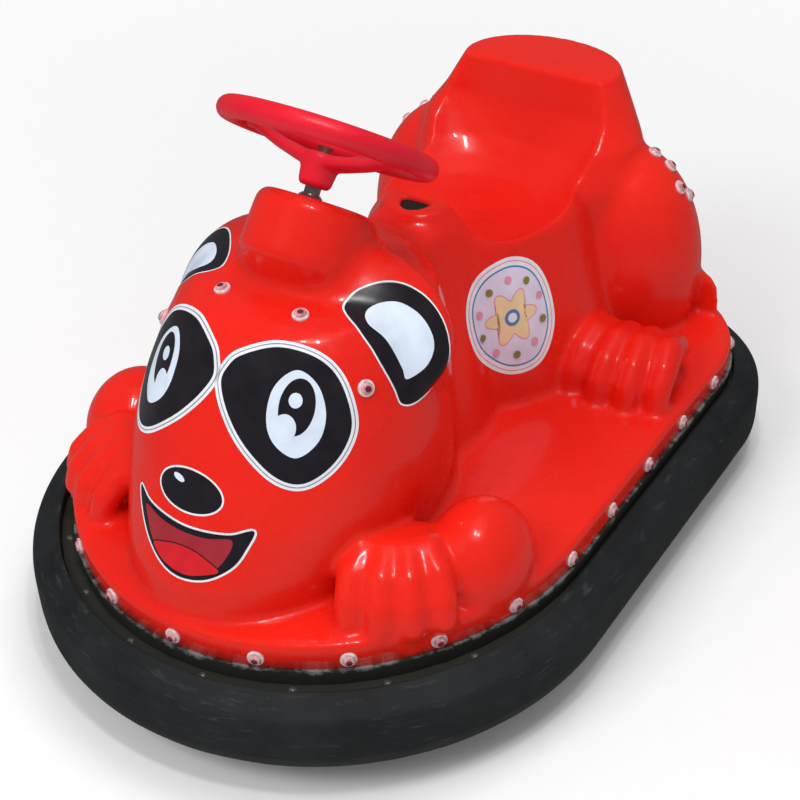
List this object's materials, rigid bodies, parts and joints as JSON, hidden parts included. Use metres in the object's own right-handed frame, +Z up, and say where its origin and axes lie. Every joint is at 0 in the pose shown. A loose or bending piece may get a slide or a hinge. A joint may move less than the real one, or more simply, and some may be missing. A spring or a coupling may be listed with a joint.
{
  "type": "bumper car",
  "caption": "Child's battery bumper car: animal-shaped fibreglass body with a moulded seat and inclined steering wheel, rubber ring bumper, steered front drive wheel.",
  "frame": {"origin": "on the ground under the middle of the rubber bumper", "axes": "-Y to the nose, +X to the driver's left, +Z up"},
  "size_m": [0.82, 1.1799, 0.7497],
  "materials": {
    "gelcoat": "glossy gelcoat",
    "black_rubber": "matt",
    "bumper_rubber": "scuffed",
    "band_steel": "worn satin",
    "lamp_lens": "clear",
    "bright_steel": "bright",
    "frame_paint": "satin",
    "battery_case": "moulded",
    "wheel_plastic": "moulded",
    "motor_alloy": "cast",
    "wheel_tyre": "matt",
    "hub_nylon": "moulded"
  },
  "bodies": {
    "root": {"body_moulding": "gelcoat", "seat_recess_cup": "black_rubber", "bumper_tyre": "bumper_rubber", "bumper_band": "band_steel", "skirt_lamps": "lamp_lens", "head_lamps": "lamp_lens", "rump_lamps": "lamp_lens", "pillar_collar": "bright_steel", "steering_gearbox": "frame_paint", "column_jacket": "frame_paint", "frame_tubes": "frame_paint", "floor_tray": "frame_paint", "battery_block": "battery_case", "fork_bearing": "frame_paint", "rear_axle": "bright_steel", "rear_axle_brackets": "frame_paint"},
    "steering_column": {"steering_wheel": "wheel_plastic", "steering_shaft": "bright_steel"},
    "front_fork": {"fork_stem": "bright_steel", "fork_yoke": "frame_paint", "front_axle": "bright_steel"},
    "front_wheel": {"front_hub_motor": "motor_alloy", "front_tyre": "wheel_tyre"},
    "rear_wheel_left": {"rear_hub_left": "hub_nylon", "rear_tyre_left": "wheel_tyre"},
    "rear_wheel_right": {"rear_hub_right": "hub_nylon", "rear_tyre_right": "wheel_tyre"}
  },
  "joints": [
    {"name": "steering_turn", "type": "hinge", "parent": "root", "child": "steering_column", "pos_m": [0, -0.136, 0.661], "axis": [0, 0.5962, 0.8028], "range_deg": [-90, 90]},
    {"name": "fork_swivel", "type": "hinge", "parent": "root", "child": "front_fork", "pos_m": [0, -0.21, 0.2], "axis": [0, 0, 1], "range_deg": [-90, 90]},
    {"name": "front_wheel_roll", "type": "hinge", "parent": "front_fork", "child": "front_wheel", "pos_m": [0, -0.21, 0.075], "axis": [1, 0, 0], "continuous": true},
    {"name": "rear_left_roll", "type": "hinge", "parent": "root", "child": "rear_wheel_left", "pos_m": [0.235, 0.3, 0.075], "axis": [1, 0, 0], "continuous": true},
    {"name": "rear_right_roll", "type": "hinge", "parent": "root", "child": "rear_wheel_right", "pos_m": [-0.235, 0.3, 0.075], "axis": [1, 0, 0], "continuous": true}
  ],
  "couplings": [
    {"joint": "fork_swivel", "follows": "steering_turn", "ratio": 1}
  ]
}
